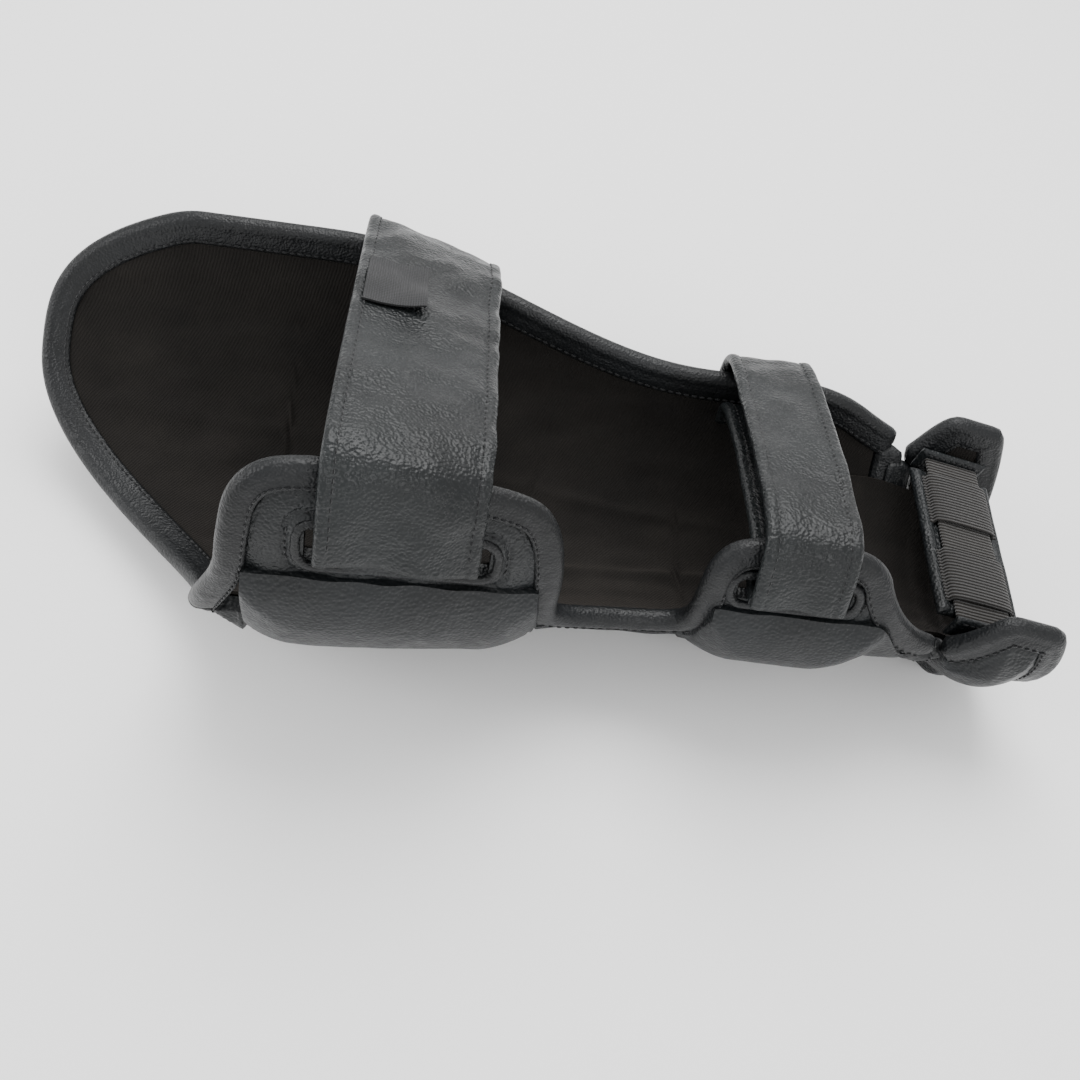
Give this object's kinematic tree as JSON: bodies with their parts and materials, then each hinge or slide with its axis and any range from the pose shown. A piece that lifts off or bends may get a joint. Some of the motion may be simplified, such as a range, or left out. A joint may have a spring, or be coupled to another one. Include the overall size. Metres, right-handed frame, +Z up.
{
  "type": "shin and instep guard",
  "caption": "Padded shin and instep guard of synthetic leather, open at the calf, closed by hook-and-loop straps threaded through side slots, with an elastic stirrup for the foot.",
  "frame": {"origin": "centre of the bounding box at its base, where the guard rests on a floor", "axes": "+X from the knee end towards the toes, +Y towards the side on which the strap tails close, +Z up, from the floor towards the leg"},
  "size_m": [0.4232, 0.1982, 0.1552],
  "materials": {
    "synthetic_leather": "semi-gloss, fine grain",
    "leather_binding": "semi-gloss, folded and stitched",
    "brushed_lining": "matte, brushed",
    "eva_foam": "matte, closed-cell",
    "elastic_webbing": "matte, ribbed weave",
    "hook_tape": "fine hooks",
    "loop_tape": "matte, fuzzy loops",
    "woven_label": "matte, woven"
  },
  "bodies": {
    "shin_guard": {"shin_lining": "brushed_lining", "shin_foam_core": "eva_foam", "shin_cover": "synthetic_leather", "shin_front_bar": "synthetic_leather", "upper_wing_lining": "brushed_lining", "upper_wing_panel": "synthetic_leather", "lower_wing_lining": "brushed_lining", "lower_wing_panel": "synthetic_leather", "upper_slot_frame": "synthetic_leather", "lower_slot_frame": "synthetic_leather", "knee_rim_binding": "leather_binding", "near_rim_binding": "leather_binding", "ankle_edge_binding": "leather_binding", "ankle_gusset": "synthetic_leather", "upper_strap_base": "synthetic_leather", "upper_base_rear_binding": "synthetic_leather", "upper_base_front_binding": "synthetic_leather", "upper_loop_patch": "loop_tape", "lower_strap_base": "synthetic_leather", "lower_base_rear_binding": "synthetic_leather", "lower_base_front_binding": "synthetic_leather", "lower_loop_patch": "loop_tape"},
    "instep_guard": {"foot_lining": "brushed_lining", "foot_foam_core": "eva_foam", "foot_cover": "synthetic_leather", "instep_pad": "synthetic_leather", "foot_rim_binding": "leather_binding", "foot_ankle_binding": "leather_binding", "stirrup_elastic": "elastic_webbing", "stirrup_anchor_far": "synthetic_leather", "stirrup_anchor_near": "synthetic_leather"},
    "sole_pad_unit": {"sole_pad": "synthetic_leather", "sole_pad_front_binding": "synthetic_leather", "sole_pad_rear_binding": "synthetic_leather", "sole_keeper_far": "elastic_webbing", "sole_keeper_near": "elastic_webbing"},
    "upper_tail": {"upper_strap_tail": "synthetic_leather", "upper_tail_rear_binding": "synthetic_leather", "upper_tail_front_binding": "synthetic_leather", "upper_hook_patch": "hook_tape", "size_label": "woven_label"},
    "lower_tail": {"lower_strap_tail": "synthetic_leather", "lower_tail_rear_binding": "synthetic_leather", "lower_tail_front_binding": "synthetic_leather", "lower_hook_patch": "hook_tape"}
  },
  "joints": [
    {"name": "ankle_flex", "type": "hinge", "parent": "shin_guard", "child": "instep_guard", "pos_m": [0.16082, -0.00224, 0.01983], "axis": [0, 1, 0], "range_deg": [0, 30]},
    {"name": "upper_strap_peel", "type": "hinge", "parent": "shin_guard", "child": "upper_tail", "pos_m": [-0.05044, -0.09308, 0.11022], "axis": [0.9664, 0.1738, -0.1894], "range_deg": [0, 100]},
    {"name": "lower_strap_peel", "type": "hinge", "parent": "shin_guard", "child": "lower_tail", "pos_m": [0.0957, -0.0712, 0.08652], "axis": [1, 0, 0.0056], "range_deg": [0, 100]},
    {"name": "sole_pad_slide", "type": "slide", "parent": "instep_guard", "child": "sole_pad_unit", "axis": [0, 1, 0], "range_m": [-0.004, 0.004]}
  ]
}
